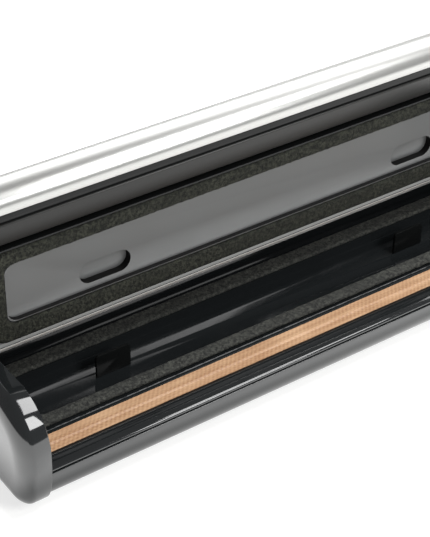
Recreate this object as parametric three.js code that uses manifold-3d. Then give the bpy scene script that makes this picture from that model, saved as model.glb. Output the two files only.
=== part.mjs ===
// Vacuum sealer: a long worktop appliance that draws the air out of a plastic bag and welds it shut.
// A black base carries a vacuum trough, foam gaskets and a taped heating wire. A silver lid swings
// between two tall end caps. Millimetres, +X along the length, -Y to the user, +Z up.
// Origin: centre of the footprint, on the surface that the feet stand on.
import * as THREE from 'three';
import { mergeVertices } from 'three/addons/utils/BufferGeometryUtils.js';
import Module from 'manifold-3d';

const wasm = await Module();
wasm.setup();

// ---------------------------------------------------------------- driving dimensions
const HALF_LENGTH = 180;      // outer faces of the end caps
const CAP_INNER = 165;        // inner faces of the end caps
const BODY_HALF = 164.7;      // base shell, deck and rear housing between the caps
const LID_HALF = 164.4;       // lid between the caps
const HALF_DEPTH = 66;        // front and rear of the end caps
const TOTAL_HEIGHT = 62;      // top of the end caps
const UNDERSIDE = 3;          // underside of the base shell, above the worktop
const DECK_Z = 25;            // working surface of the base
const WALL = 2.2;             // moulded wall thickness
const HINGE_Y = 20.5;         // lid hinge axis
const HINGE_Z = 53;
const LID_OPEN_DEG = 88;      // how far the lid stands open in the stored pose
const LID_PLANE = 28;         // inner face of the closed lid
const BARREL_R = 7;           // rounded rear edge of the lid around the hinge axis
const SEAT_R = 8.4;           // hollow in the rear housing that clears the barrel

// gasket ring, the same outline on the base and on the lid
const RING = { halfX: 160.3, front: -34.6, back: 16.4, radius: 9 };
const RING_HOLE = { halfX: 151.6, front: -26.6, back: 6.4, radius: 5 };
const GASKET_PROUD = 1.4;
const GROOVE_DEPTH = 1.3;

// vacuum trough in the base and shallow recess in the lid
const TROUGH = { halfX: 149.6, front: -25.9, back: 4.6, radius: 6, floor: 15 };
const RECESS = { halfX: 151, front: -26.4, back: 5.7, radius: 6, depth: 2.5 };
const POCKET = { x: 96.6, y: -3.7, length: 28.5, width: 12.2, depth: 4 };
const TAB = { width: 20, thick: 1.5, y: -5.8, top: 28.2 };

// sealing line along the front of the deck
const BAR = { front: -51.9, back: -40.1, half: 161, bottom: 22, top: 25.2 };
const WIRE_Y = -45.9;
const WIRE_WIDTH = 1.8;
const PRESS = { front: -49.7, back: -37.9, half: 160 };
const DECK_FRONT = -61.3;

// end cap roundness: how deep and how far in the outer edge rolls over
const ROLL_X = 14;
const ROLL_IN = 13;
const ROLL_STEPS = 4;

// controls on the right-hand cap
const PANEL = { x0: 167.9, x1: 174.9, y0: -30, y1: 22, z: 58.9 };
const KEY_Y = { vacuum: -19, seal: -3 };
const LENS_Y = { green: 9, red: 15 };

// drive group behind the hinge
const MOTOR = { x0: 42, x1: 96, y: 43, z: 28, radius: 13 };
const HOSE_END = { x: 135.3, y: 42, z: 14 };
const INLET = { x: -134, z: 15 };
const VALVE = { x: 153.5, y: 33 };
const NOZZLE_X = 138;
const NOZZLE_Y = -11;
const SCREWS = [[-120, -47], [120, -47], [-154, 52], [154, 52]];
const FEET = [[-150, -42], [150, -42], [-138, 46], [138, 46]];
const SLOT_DROP = 0.3;        // clearance between fitted pieces

// ---------------------------------------------------------------- materials
const finish = (color, roughness, metalness = 0) =>
  new THREE.MeshStandardMaterial({ color, roughness, metalness });
const GLOSS_BLACK = finish(0x1a1c1d, 0.12);
const LINER_BLACK = finish(0x26282a, 0.2);
const SILVER = finish(0xd9d9d6, 0.3, 0.8);
const FOAM = finish(0x3a3936, 0.95);
const TAN_CLOTH = finish(0xd9a882, 0.45);
const SATIN_RUBBER = finish(0x3c3b38, 0.6);
const STEEL = finish(0xb8bcc0, 0.35, 1);
const BRASS = finish(0xb58f4a, 0.35, 1);
const GREEN_BOARD = finish(0x1f5a35, 0.5);
const CLEAR_HOSE = finish(0xcfd3d2, 0.3);
const DARK_GREY = finish(0x44474a, 0.5);
const KEY_GREY = finish(0x8c8f92, 0.35);
const RUBBER = finish(0x1c1c1c, 0.85);
const GREEN_LENS = finish(0x3fae5a, 0.15);
const RED_LENS = finish(0xc23b32, 0.15);

// ---------------------------------------------------------------- making and cutting solids
function solid(geometry) {
  const bare = geometry.clone();
  bare.deleteAttribute('normal');
  bare.deleteAttribute('uv');
  const merged = mergeVertices(bare, 1e-4);
  return new wasm.Manifold(new wasm.Mesh({
    numProp: 3,
    vertProperties: Float32Array.from(merged.attributes.position.array),
    triVerts: Uint32Array.from(merged.index.array),
  }));
}

const cut = (body, ...tools) => tools.reduce((left, tool) => left.subtract(tool), body);
const join = (body, ...others) => others.reduce((sum, other) => sum.add(other), body);

function geometryOf(body) {
  const mesh = body.getMesh();
  const geometry = new THREE.BufferGeometry();
  geometry.setAttribute('position', new THREE.BufferAttribute(mesh.vertProperties, 3));
  geometry.setIndex(new THREE.BufferAttribute(mesh.triVerts, 1));
  geometry.computeVertexNormals();
  return geometry;
}

function box(x0, x1, y0, y1, z0, z1) {
  const block = new THREE.BoxGeometry(x1 - x0, y1 - y0, z1 - z0);
  block.translate((x0 + x1) / 2, (y0 + y1) / 2, (z0 + z1) / 2);
  return solid(block);
}

// A flat outline in X and Y, raised from z0 to z1.
function plate(shape, z0, z1, segments = 4) {
  const block = new THREE.ExtrudeGeometry(shape, {
    depth: z1 - z0, bevelEnabled: false, curveSegments: segments,
  });
  block.translate(0, 0, z0);
  return solid(block);
}

// A side outline in Y and Z, run along X from x0 to x1.
function bar(shape, x0, x1, segments = 6) {
  const block = new THREE.ExtrudeGeometry(shape, {
    depth: x1 - x0, bevelEnabled: false, curveSegments: segments,
  });
  block.translate(0, 0, x0);
  block.applyMatrix4(new THREE.Matrix4().set(0, 0, 1, 0, 1, 0, 0, 0, 0, 1, 0, 0, 0, 0, 0, 1));
  return solid(block);
}

// A round rod along the named axis, from a to b, centred on the other two coordinates.
function rod(axis, radius, a, b, u, v, sides = 20) {
  const block = new THREE.CylinderGeometry(radius, radius, b - a, sides);
  const middle = (a + b) / 2;
  if (axis === 'x') {
    block.rotateZ(Math.PI / 2);
    block.translate(middle, u, v);
  } else if (axis === 'y') {
    block.translate(u, middle, v);
  } else {
    block.rotateX(Math.PI / 2);
    block.translate(u, v, middle);
  }
  return solid(block);
}

function roundedRect(x0, x1, y0, y1, r) {
  const shape = new THREE.Shape();
  shape.moveTo(x0 + r, y0);
  shape.lineTo(x1 - r, y0);
  shape.absarc(x1 - r, y0 + r, r, -Math.PI / 2, 0);
  shape.lineTo(x1, y1 - r);
  shape.absarc(x1 - r, y1 - r, r, 0, Math.PI / 2);
  shape.lineTo(x0 + r, y1);
  shape.absarc(x0 + r, y1 - r, r, Math.PI / 2, Math.PI);
  shape.lineTo(x0, y0 + r);
  shape.absarc(x0 + r, y0 + r, r, Math.PI, Math.PI * 1.5);
  return shape;
}

const area = ({ halfX, front, back, radius }, grow = 0) =>
  roundedRect(-halfX - grow, halfX + grow, front - grow, back + grow, radius + grow);

// A pipe of the given radii along a curve, open at both ends.
function pipe(points, outer, inner, steps) {
  const ring = new THREE.Shape().absarc(0, 0, outer, 0, Math.PI * 2);
  ring.holes.push(new THREE.Path().absarc(0, 0, inner, 0, Math.PI * 2, true));
  const path = new THREE.CatmullRomCurve3(points.map((p) => new THREE.Vector3(...p)));
  return solid(new THREE.ExtrudeGeometry(ring, { steps, extrudePath: path, curveSegments: 4 }));
}

// ---------------------------------------------------------------- side outlines (Y, Z)
// End cap: steep front, round shoulder, flat top, long round fall at the back.
function capOutline(inset) {
  const shape = new THREE.Shape();
  const floor = UNDERSIDE + inset;
  const front = -HALF_DEPTH + inset;
  shape.moveTo(-50, floor);
  shape.lineTo(46, floor);
  shape.absarc(46, UNDERSIDE + 20, 20 - inset, -Math.PI / 2, 0);
  shape.lineTo(HALF_DEPTH - inset, 26);
  shape.absarc(30, 26, 36 - inset, 0, Math.PI / 2);
  shape.lineTo(-42, TOTAL_HEIGHT - inset);
  shape.absarc(-42, 38, 24 - inset, Math.PI / 2, Math.PI);
  shape.bezierCurveTo(front, 16 + inset * 0.4, -61 + inset * 0.6, floor, -50, floor);
  return shape;
}

// Lid, drawn closed: rounded nose, shoulder concentric with the caps, barrel around the hinge axis.
function lidOutline(inset) {
  const shape = new THREE.Shape();
  const floor = LID_PLANE + inset;
  const radius = BARREL_R - inset;
  const backFace = 21 - inset;
  const offset = backFace - HINGE_Y;
  const drop = Math.sqrt(radius * radius - offset * offset);
  shape.moveTo(-57.5, floor);
  shape.lineTo(backFace, floor);
  shape.lineTo(backFace, HINGE_Z - drop);
  shape.absarc(HINGE_Y, HINGE_Z, radius, Math.atan2(-drop, offset), Math.PI / 2);
  shape.lineTo(-41.8, HINGE_Z + radius);
  shape.absarc(-41.8, 38.5, 21.5 - inset, Math.PI / 2, Math.PI);
  shape.bezierCurveTo(-63.3 + inset, 32, -61.5 + inset, floor, -57.5, floor);
  return shape;
}

// Base shell: upright front that rolls under, upright back.
function panOutline(inset) {
  const shape = new THREE.Shape();
  shape.moveTo(-46.4, UNDERSIDE + inset);
  shape.lineTo(50, UNDERSIDE + inset);
  shape.absarc(50, 18, 15 - inset, -Math.PI / 2, 0);
  shape.lineTo(65 - inset, 22.6);
  shape.lineTo(-62 + inset, 22.6);
  shape.lineTo(-62 + inset, 18.6);
  shape.absarc(-46.4, 18.6, 15.6 - inset, Math.PI, Math.PI * 1.5);
  return shape;
}

// Rear housing: front wall below the hinge, hollow seat for the lid barrel, long round back.
function housingOutline(inset) {
  const shape = new THREE.Shape();
  const seat = SEAT_R + inset;
  const low = Math.acos((22 + inset - HINGE_Y) / seat);
  const lip = HINGE_Y + seat;
  shape.moveTo(22 + inset, 22.9 - inset * 2);
  shape.lineTo(65 - inset, 22.9 - inset * 2);
  shape.lineTo(65 - inset, 29);
  shape.absarc(33.5, 29, 31.5 - inset, 0, Math.PI / 2);
  shape.lineTo(lip, 60.5 - inset);
  shape.lineTo(lip, HINGE_Z);
  shape.absarc(HINGE_Y, HINGE_Z, seat, 0, -low, true);
  return shape;
}

// ---------------------------------------------------------------- base: shells
// Room for the swinging lid hooks at both ends of the deck and of the shell below it.
const hookWays = () => [-1, 1].map((s) => box(s * 163.4 - 1.4, s * 163.4 + 1.4, -46, -16, 10, 30));

function basePan() {
  const shell = bar(panOutline(0), -BODY_HALF, BODY_HALF);
  const inside = bar(panOutline(WALL), -BODY_HALF + WALL, BODY_HALF - WALL);
  const mouth = box(-BODY_HALF + WALL, BODY_HALF - WALL, -62 + WALL, 65 - WALL, 18.7, 24);
  const holes = SCREWS.map(([x, y]) => rod('z', 2.1, 0, 9, x, y, 12));
  const pegs = FEET.map(([x, y]) => rod('z', 2.8, 0, 9, x, y, 12));
  const socket = box(INLET.x - 11.3, INLET.x + 11.3, 56, 70, INLET.z - 6.3, INLET.z + 6.3);
  const reach = [-1, 1].map((side) => box(side * 160 - 6, side * 160 + 6, -12, 12, 14, 21));
  const wires = [-1, 1].map((side) => box(side * 160 - 6, side * 160 + 6, 30, 44, 10, 20));
  return cut(shell, inside, mouth, ...holes, ...pegs, socket, ...reach, ...wires, ...hookWays());
}

function deck() {
  const flange = box(-BODY_HALF, BODY_HALF, DECK_FRONT, 21.7, 22.9, DECK_Z);
  const body = box(-162.2, 162.2, -59.5, 21.7, 20.5, 23);
  const bowl = plate(area(TROUGH, 2), TROUGH.floor - 2, 21);
  const bosses = SCREWS.slice(0, 2).map(([x, y]) => rod('z', 4, 6.2, 21, x, y, 16));
  const pilots = SCREWS.slice(0, 2).map(([x, y]) => rod('z', 1.9, 5, 16, x, y, 12));
  const hollow = plate(area(TROUGH), TROUGH.floor, 30);
  const groove = cut(
    plate(area(RING, SLOT_DROP), DECK_Z - GROOVE_DEPTH, 30),
    plate(area(RING_HOLE, -SLOT_DROP), 0, 31),
  );
  const gutter = box(-161.4, 161.4, BAR.back + 0.2, RING.front - 0.1, 22.6, 30);
  const slot = box(-161.4, 161.4, BAR.front - 0.3, BAR.back + 0.3, BAR.bottom, 30);
  const port = rod('z', 3.9, 10, 20, NOZZLE_X, NOZZLE_Y);
  return cut(join(flange, body, bowl, ...bosses), hollow, groove, gutter, slot,
    ...hookWays(), port, ...pilots);
}

function rearHousing() {
  const shell = bar(housingOutline(0), -BODY_HALF, BODY_HALF, 10);
  const inside = bar(housingOutline(WALL), -BODY_HALF + WALL, BODY_HALF - WALL, 10);
  const bosses = SCREWS.slice(2).map(([x, y]) => rod('z', 4, 7.4, 50, x, y, 16));
  const pilots = SCREWS.slice(2).map(([x, y]) => rod('z', 1.9, 5, 16, x, y, 12));
  return cut(join(cut(shell, inside), ...bosses), ...pilots);
}

// The outer edge of a cap rolls over on a quarter ellipse, in steps from the inner face outward.
function capBlock(skin, x0, x1, roll) {
  const rings = [{ x: x0, inset: skin }];
  for (let k = 0; k <= ROLL_STEPS; k += 1) {
    const angle = (k / ROLL_STEPS) * (Math.PI / 2) * 0.94;
    rings.push({
      x: x1 - roll + roll * Math.sin(angle),
      inset: skin + ROLL_IN * (1 - Math.cos(angle)),
    });
  }
  const outlines = rings.map((ring) => capOutline(ring.inset).getPoints(5));
  for (const outline of outlines) outline.pop();
  const count = outlines[0].length;
  const corners = [];
  outlines.forEach((outline, k) => outline.forEach((p) => corners.push(rings[k].x, p.x, p.y)));
  const faces = [];
  for (let k = 0; k + 1 < rings.length; k += 1) {
    for (let i = 0; i < count; i += 1) {
      const here = k * count + i;
      const next = k * count + ((i + 1) % count);
      faces.push(here, next, next + count, here, next + count, here + count);
    }
  }
  const last = (rings.length - 1) * count;
  for (const [a, b, c] of THREE.ShapeUtils.triangulateShape(outlines[0], [])) {
    faces.push(a, c, b, last + a, last + b, last + c);
  }
  const geometry = new THREE.BufferGeometry();
  geometry.setAttribute('position', new THREE.Float32BufferAttribute(corners, 3));
  geometry.setIndex(faces);
  return solid(geometry);
}

function endCap(side) {
  const place = (x0, x1, y0, y1, z0, z1) => (side > 0
    ? box(x0, x1, y0, y1, z0, z1) : box(-x1, -x0, y0, y1, z0, z1));
  const mirror = (body) => (side > 0 ? body : body.mirror([1, 0, 0]));
  const outer = mirror(capBlock(0, CAP_INNER, HALF_LENGTH, ROLL_X));
  const hollow = mirror(capBlock(5, CAP_INNER + 2, HALF_LENGTH - 2.5, 10));
  const window = place(CAP_INNER - 2, CAP_INNER + 4, -30, 44, 9.5, 20);
  const pinHole = rod('x', 3.3, side * 168 - 8, side * 168 + 8, HINGE_Y, HINGE_Z);
  const keyHole = bar(roundedRect(-11.4, 11.4, 12.6, 23.4, 5.3), 170, 190);
  let cap = cut(outer, hollow, window, pinHole, mirror(keyHole));
  if (side > 0) {
    const facet = box(PANEL.x0 - 0.3, 190, PANEL.y0 - 0.3, PANEL.y1 + 0.3, PANEL.z - 0.1, 70);
    const wells = Object.values(KEY_Y).map((y) => keyOutline(y, SLOT_DROP, 50, 60));
    const leads = Object.values(LENS_Y).map((y) => rod('z', 1.2, 50, 60, 171.4, y, 12));
    cap = cut(cap, facet, ...wells, ...leads);
  }
  return cap;
}

// ---------------------------------------------------------------- base: seals and sealing line
function gasket(z0, z1) {
  return cut(plate(area(RING), z0, z1, 5), plate(area(RING_HOLE), z0 - 1, z1 + 1, 5));
}

// Woven tape laid over the wire: flat, with a low ridge where the wire lies under it.
function sealingTape() {
  const flat = BAR.top + 0.1;
  const crown = flat + 0.55;
  const skin = 0.25;
  const near = WIRE_WIDTH / 2 + 0.35;
  const shape = new THREE.Shape();
  shape.moveTo(BAR.front, flat);
  shape.lineTo(WIRE_Y - near - 0.5, flat);
  shape.lineTo(WIRE_Y - near, crown);
  shape.lineTo(WIRE_Y + near, crown);
  shape.lineTo(WIRE_Y + near + 0.5, flat);
  shape.lineTo(BAR.back, flat);
  shape.lineTo(BAR.back, flat + skin);
  shape.lineTo(WIRE_Y + near + 0.5, flat + skin);
  shape.lineTo(WIRE_Y + near, crown + skin);
  shape.lineTo(WIRE_Y - near, crown + skin);
  shape.lineTo(WIRE_Y - near - 0.5, flat + skin);
  shape.lineTo(BAR.front, flat + skin);
  return bar(shape, -BAR.half, BAR.half);
}

function bagStop(side) {
  const x = side * POCKET.x;
  const outline = roundedRect(-TAB.width / 2, TAB.width / 2, 0, TAB.top - 15.2, 1.6);
  const blade = plate(outline, 0, TAB.thick).rotate([90, 0, 0]);
  return blade.translate([x, TAB.y + TAB.thick / 2, 15.2]);
}

// ---------------------------------------------------------------- base: inner works
function pumpHead() {
  const block = box(112, 132, 30, 56, 9, 46);
  const dome = rod('z', 9, 45, 50, 122, 43);
  const spout = rod('x', 1.7, 131, 138, HOSE_END.y, HOSE_END.z, 12);
  return join(block, dome, spout);
}

function pumpCrank() {
  const hub = rod('x', 8, 100.5, 103.5, MOTOR.y, MOTOR.z);
  const throwPin = rod('x', 2, 103, 109, MOTOR.y, MOTOR.z + 5, 14);
  const bore = rod('x', 1.3, 99, 104, MOTOR.y, MOTOR.z, 14);
  return cut(join(hub, throwPin), bore);
}

function pumpMotor() {
  const can = rod('x', MOTOR.radius, MOTOR.x0, MOTOR.x1, MOTOR.y, MOTOR.z, 28);
  const shaft = rod('x', 1, MOTOR.x1 - 1, 103.4, MOTOR.y, MOTOR.z, 14);
  const bearing = rod('x', 4, MOTOR.x0 - 2, MOTOR.x0 + 1, MOTOR.y, MOTOR.z, 16);
  return join(can, shaft, bearing);
}

function motorBracket() {
  const leg = box(97, 99, 28, 54, 6.4, 43);
  const base = box(99, 111, 28, 54, 6.4, 8.4);
  return cut(join(leg, base), rod('x', 5, 90, 100, MOTOR.y, MOTOR.z));
}

function transformer() {
  const core = box(-110, -66, 28, 55, 10, 44);
  const coil = box(-103, -73, 25.5, 57.5, 16, 38);
  const feet = box(-116, -60, 34, 50, 6, 10.2);
  return join(core, coil, feet);
}

function controlBoard() {
  const board = box(-56, 28, 28, 56.5, 8.6, 10);
  const relay = box(-52, -34, 32, 46, 9.9, 26);
  const capacitor = rod('z', 5, 9.9, 30, -22, 38, 16);
  const choke = box(-8, 8, 44, 55, 9.9, 22);
  const plugs = [0, 1, 2].map((k) => box(10 + k * 5, 13.6 + k * 5, 31, 40, 9.9, 17));
  return join(board, relay, capacitor, choke, ...plugs);
}

function powerInlet() {
  const body = box(INLET.x - 10.9, INLET.x + 10.9, 46, 65.4, INLET.z - 5.9, INLET.z + 5.9);
  const flange = box(INLET.x - 13, INLET.x + 13, 65.2, 66, INLET.z - 8, INLET.z + 7.4);
  const mouth = box(INLET.x - 8.5, INLET.x + 8.5, 50, 70, INLET.z - 3.8, INLET.z + 3.8);
  const pins = [-1, 1].map((side) => rod('y', 1.1, 49, 61, INLET.x + side * 4.3, INLET.z, 12));
  return join(cut(join(body, flange), mouth), ...pins);
}

function foot(x, y) {
  const profile = [[0, 0], [6.2, 0], [7, 0.8], [7, 2.8], [2.5, 2.8], [2.5, 7.6], [0, 7.6]];
  const pad = new THREE.LatheGeometry(profile.map(([r, z]) => new THREE.Vector2(r, z)), 20);
  pad.rotateX(Math.PI / 2);
  pad.translate(x, y, 0);
  return solid(pad);
}

function screw(x, y) {
  const head = rod('z', 3.4, 1.2, 2.8, x, y, 16);
  const shank = rod('z', 1.6, 2.7, 14, x, y, 12);
  return cut(join(head, shank), box(x - 2, x + 2, y - 0.4, y + 0.4, 1, 2),
    box(x - 0.4, x + 0.4, y - 2, y + 2, 1, 2));
}

// Hinge pin through a cap into the lid bush, with its head inside the cap.
function hingePin(side) {
  const shaft = rod('x', 3, 159, 168, HINGE_Y, HINGE_Z);
  const head = rod('x', 3.6, 167.3, 168.9, HINGE_Y, HINGE_Z);
  const pin = join(shaft, head);
  return side > 0 ? pin : pin.mirror([1, 0, 0]);
}

function ventValve() {
  const coil = rod('z', 7, 6, 26, VALVE.x, VALVE.y, 20);
  const yoke = box(VALVE.x - 7.5, VALVE.x + 7.5, VALVE.y - 7.5, VALVE.y + 7.5, 24, 26);
  return cut(join(coil, yoke), rod('z', 2.4, 10, 27, VALVE.x, VALVE.y, 16));
}

// ---------------------------------------------------------------- controls and latches
function controlPanel() {
  const strip = box(PANEL.x0, PANEL.x1, PANEL.y0, PANEL.y1, PANEL.z, PANEL.z + 0.7);
  const keys = Object.values(KEY_Y).map((y) => keyOutline(y, SLOT_DROP, 58, 60));
  const leads = Object.values(LENS_Y).map((y) => rod('z', 1.8, 58, 60, 171.4, y, 16));
  return cut(strip, ...keys, ...leads);
}

function keyOutline(y, grow, z0, z1) {
  const shape = roundedRect(168.8 - grow, 174 + grow, y - 6.5 - grow, y + 6.5 + grow, 2.5 + grow);
  return plate(shape, z0, z1, 5);
}

function panelKey(y) {
  return join(keyOutline(y, 0, 59.1, 60.9), box(169.7, 173.1, y - 2.7, y + 2.7, 52, 59.2));
}

function lens(y) {
  return join(rod('z', 1.5, 58.95, 60.1, 171.4, y, 16), rod('z', 0.9, 52, 59, 171.4, y, 12));
}

function releaseButton(side) {
  const cap = bar(roundedRect(-11, 11, 13, 23, 5), 176, 181.2);
  return side > 0 ? cap : cap.mirror([1, 0, 0]);
}

// Slider behind the release button: its tooth faces the hook of the lid below the deck.
function latchSlider(side) {
  const stem = box(154.8, 175.7, -6, 6, 15, 19.5);
  const arm = box(154.8, 158, -38, 6, 15, 19.5);
  const tooth = box(157.5, 161.2, -38, -30, 15, 19.5);
  const body = join(stem, arm, tooth);
  return side > 0 ? body : body.mirror([1, 0, 0]);
}

// ---------------------------------------------------------------- lid, drawn closed
function lidCover() {
  const shell = bar(lidOutline(0), -LID_HALF, LID_HALF, 10);
  const inside = bar(lidOutline(2), -LID_HALF + WALL, LID_HALF - WALL, 10);
  const upper = inside.intersect(box(-200, 200, -70, 30, 31, 70));
  const mouth = box(-162.2, 162.2, -53.7, 18.9, 20, 31.5);
  const bushHoles = rod('x', 4.8, -170, 170, HINGE_Y, HINGE_Z);
  const ears = [-1, 1].map((s) => bushHoles.intersect(box(s * 165 - 5, s * 165 + 5, 10, 30, 40, 65)));
  return cut(shell, upper, mouth, ...ears);
}

function pocketOutline(side, grow) {
  const r = POCKET.width / 2 + grow;
  const half = POCKET.length / 2 + grow;
  const x = side * POCKET.x;
  return roundedRect(x - half, x + half, POCKET.y - r, POCKET.y + r, r * 0.96);
}

function lidLiner() {
  const slab = box(-161.9, 161.9, -53.4, 18.6, LID_PLANE, 33);
  const deep = LID_PLANE + RECESS.depth + POCKET.depth;
  const bosses = [-1, 1].map((s) => plate(pocketOutline(s, 2), 32, deep + 2, 6));
  const pockets = [-1, 1].map((s) => plate(pocketOutline(s, 0), 20, deep, 6));
  const recess = plate(area(RECESS), 20, LID_PLANE + RECESS.depth);
  const groove = cut(
    plate(area(RING, SLOT_DROP), 20, LID_PLANE + GROOVE_DEPTH),
    plate(area(RING_HOLE, -SLOT_DROP), 0, 40),
  );
  const strip = box(-160.4, 160.4, PRESS.front - 0.3, PRESS.back + 0.3, 20, 29.6);
  const gutter = box(-160.4, 160.4, PRESS.back + 0.2, RING.front - 0.2, 20, 30);
  const hookSeats = [-1, 1].map((s) => box(s * 161.6 - 1, s * 161.6 + 1, -36.3, -31.7, 20, 29.5));
  return cut(join(slab, ...bosses), recess, ...pockets, groove, strip, gutter, ...hookSeats);
}

// Steel hook below each end of the lid: a thin plate with a barb turned towards the tooth.
function lidHook(side) {
  const shape = new THREE.Shape();
  shape.moveTo(-36, 27.7);
  shape.lineTo(-36, 14);
  shape.lineTo(-34, 12);
  shape.lineTo(-28, 12);
  shape.lineTo(-28, 14.6);
  shape.lineTo(-32, 14.6);
  shape.lineTo(-32, 27.7);
  return bar(shape, side * 163.3 - 0.7, side * 163.3 + 0.7);
}

function hingeBush(side) {
  const ring = rod('x', 4.5, side * 162.4 - 1.9, side * 162.4 + 1.9, HINGE_Y, HINGE_Z);
  return cut(ring, rod('x', 3.25, side * 162.4 - 3, side * 162.4 + 3, HINGE_Y, HINGE_Z));
}

// ---------------------------------------------------------------- assembly
function node(name, body, material) {
  const mesh = new THREE.Mesh(geometryOf(body), material);
  mesh.name = name;
  return mesh;
}

const SIDES = [['left', -1], ['right', 1]];
const sealer = new THREE.Group();
sealer.name = 'vacuum_sealer';

const base = new THREE.Group();
base.add(
  node('base_pan', basePan(), GLOSS_BLACK),
  node('deck', deck(), GLOSS_BLACK),
  node('rear_housing', rearHousing(), GLOSS_BLACK),
  node('lower_gasket', gasket(DECK_Z - GROOVE_DEPTH + 0.1, DECK_Z + GASKET_PROUD), FOAM),
  node('seal_bar', box(-BAR.half, BAR.half, BAR.front, BAR.back, BAR.bottom + 0.1, BAR.top), STEEL),
  node('heating_wire', box(-158, 158, WIRE_Y - WIRE_WIDTH / 2, WIRE_Y + WIRE_WIDTH / 2,
    BAR.top + 0.15, BAR.top + 0.4), STEEL),
  node('sealing_tape', sealingTape(), TAN_CLOTH),
  node('suction_nozzle', pipe([[NOZZLE_X, NOZZLE_Y, 16.4], [NOZZLE_X, NOZZLE_Y, 12.4],
    [NOZZLE_X, NOZZLE_Y + 3, 9.4], [NOZZLE_X, -2, 9.2]], 2.8, 1.6, 6), DARK_GREY),
  node('vacuum_hose', pipe([[NOZZLE_X, -1.4, 9.2], [NOZZLE_X, 16, 9.2], [141, 28, 9.8],
    [143, 38, 12.6], [139.6, HOSE_END.y, HOSE_END.z], [138.4, HOSE_END.y, HOSE_END.z]],
  2.8, 1.6, 16), CLEAR_HOSE),
  node('pump_motor', pumpMotor(), STEEL),
  node('motor_bracket', motorBracket(), STEEL),
  node('pump_head', pumpHead(), DARK_GREY),
  node('transformer', transformer(), DARK_GREY),
  node('control_board', controlBoard(), GREEN_BOARD),
  node('lid_switch', box(-156, -150, -48, -36, 8, 12.5), DARK_GREY),
  node('vent_valve', ventValve(), BRASS),
  node('power_inlet', powerInlet(), DARK_GREY),
  node('control_panel', controlPanel(), DARK_GREY),
  node('lens_green', lens(LENS_Y.green), GREEN_LENS),
  node('lens_red', lens(LENS_Y.red), RED_LENS),
);
for (const [name, side] of SIDES) {
  base.add(
    node(`end_cap_${name}`, endCap(side), GLOSS_BLACK),
    node(`bag_stop_${name}`, bagStop(side), LINER_BLACK),
    node(`hinge_pin_${name}`, hingePin(side), STEEL),
  );
}
SCREWS.forEach(([x, y], k) => base.add(node(`base_screw_${k + 1}`, screw(x, y), STEEL)));
FEET.forEach(([x, y], k) => base.add(node(`foot_${k + 1}`, foot(x, y), RUBBER)));
sealer.add(base);

// moving pieces of the base
sealer.add(
  node('pump_crank', pumpCrank(), STEEL),
  node('vent_plunger', rod('z', 2, 12, 31, VALVE.x, VALVE.y, 16), STEEL),
  node('vacuum_key', panelKey(KEY_Y.vacuum), KEY_GREY),
  node('seal_key', panelKey(KEY_Y.seal), KEY_GREY),
);
for (const [name, side] of SIDES) {
  sealer.add(
    node(`release_button_${name}`, releaseButton(side), KEY_GREY),
    node(`latch_slider_${name}`, latchSlider(side), DARK_GREY),
  );
}

// The lid is drawn closed about its hinge axis, then swung open as one group.
const lid = new THREE.Group();
lid.position.set(0, HINGE_Y, HINGE_Z);
lid.rotation.x = THREE.MathUtils.degToRad(-LID_OPEN_DEG);
const closed = new THREE.Group();
closed.position.set(0, -HINGE_Y, -HINGE_Z);
closed.add(
  node('lid_cover', lidCover(), SILVER),
  node('lid_liner', lidLiner(), LINER_BLACK),
  node('upper_gasket', gasket(LID_PLANE - GASKET_PROUD, LID_PLANE + GROOVE_DEPTH - 0.3), FOAM),
  node('pressing_strip', box(-PRESS.half, PRESS.half, PRESS.front, PRESS.back, 26.5, 29.3),
    SATIN_RUBBER),
);
for (const [name, side] of SIDES) {
  closed.add(
    node(`lid_hook_${name}`, lidHook(side), STEEL),
    node(`hinge_bush_${name}`, hingeBush(side), BRASS),
  );
}
lid.add(closed);
sealer.add(lid);

export default sealer;
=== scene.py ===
# %% [markdown]
# # Vacuum sealer: a long worktop machine with its lid open
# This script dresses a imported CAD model. The model is loaded as a fixed frame, its nodes say where
# everything is, and detailed pieces with real finishes are built on top of them. All lengths below
# are written in millimetres and turned to metres by one factor.

# %% Load the frame
import math

import bmesh
import bpy
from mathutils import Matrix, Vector


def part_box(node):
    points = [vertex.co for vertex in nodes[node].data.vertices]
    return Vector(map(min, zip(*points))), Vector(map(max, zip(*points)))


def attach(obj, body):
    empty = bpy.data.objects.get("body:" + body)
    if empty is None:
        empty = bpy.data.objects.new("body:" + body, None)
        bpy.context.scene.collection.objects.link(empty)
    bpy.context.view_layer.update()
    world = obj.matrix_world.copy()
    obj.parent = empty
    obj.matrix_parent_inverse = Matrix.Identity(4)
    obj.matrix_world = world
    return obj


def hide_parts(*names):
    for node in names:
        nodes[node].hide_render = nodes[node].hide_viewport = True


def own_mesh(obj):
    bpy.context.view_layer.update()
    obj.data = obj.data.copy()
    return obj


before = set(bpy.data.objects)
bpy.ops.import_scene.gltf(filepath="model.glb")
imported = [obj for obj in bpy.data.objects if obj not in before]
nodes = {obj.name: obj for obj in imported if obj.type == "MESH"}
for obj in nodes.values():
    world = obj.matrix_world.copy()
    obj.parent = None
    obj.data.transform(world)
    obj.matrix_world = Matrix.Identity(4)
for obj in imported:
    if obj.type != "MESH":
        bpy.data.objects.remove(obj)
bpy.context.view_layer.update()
bpy.ops.object.select_all(action="DESELECT")
MM = 0.001

# %% [markdown]
# ## Camera
# A long lens from a little over half a metre away, above and to the left of the front, so that the
# machine runs diagonally through the frame and its right end is cut off.

# %% Camera
SENSOR = 36.0
camera_data = bpy.data.cameras.new("camera")
camera_data.lens = 100.22
camera_data.sensor_width = SENSOR
camera_data.clip_start = 0.01
camera = bpy.data.objects.new("camera", camera_data)
camera.location = (-0.3927, -0.5167, 0.4796)
camera.rotation_euler = (math.radians(55.604), 0, math.radians(-35.025))
bpy.context.scene.collection.objects.link(camera)
bpy.context.scene.camera = camera
print("camera at", tuple(round(v, 3) for v in camera.location))

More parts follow.
